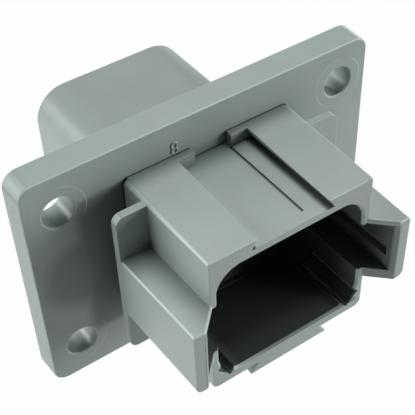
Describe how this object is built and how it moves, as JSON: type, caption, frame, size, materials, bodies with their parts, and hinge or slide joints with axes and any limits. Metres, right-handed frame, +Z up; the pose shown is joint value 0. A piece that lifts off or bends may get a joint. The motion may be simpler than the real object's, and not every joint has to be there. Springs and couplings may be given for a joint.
{
  "type": "flanged receptacle connector",
  "caption": "Rectangular plastic receptacle connector housing with latch channels, seated through a panel flange, with a sealed wire entry behind.",
  "frame": {"origin": "centre of the four-hole pattern on the flange's front face", "axes": "-Y out of the mating mouth, +Y towards the wires, X along the flange's long edge, +Z up towards the dovetail slot"},
  "size_m": [0.0624, 0.0548, 0.042],
  "materials": {
    "flange_plastic": "moulded grey thermoplastic, fine satin texture",
    "housing_plastic": "moulded grey thermoplastic, fine satin texture",
    "seal_rubber": "soft orange-red silicone",
    "retainer_plastic": "moulded grey thermoplastic, fine satin texture"
  },
  "bodies": {
    "root": {"mounting_flange": "flange_plastic", "receptacle_housing": "housing_plastic", "wire_seal": "seal_rubber", "seal_retainer": "retainer_plastic"}
  },
  "joints": []
}
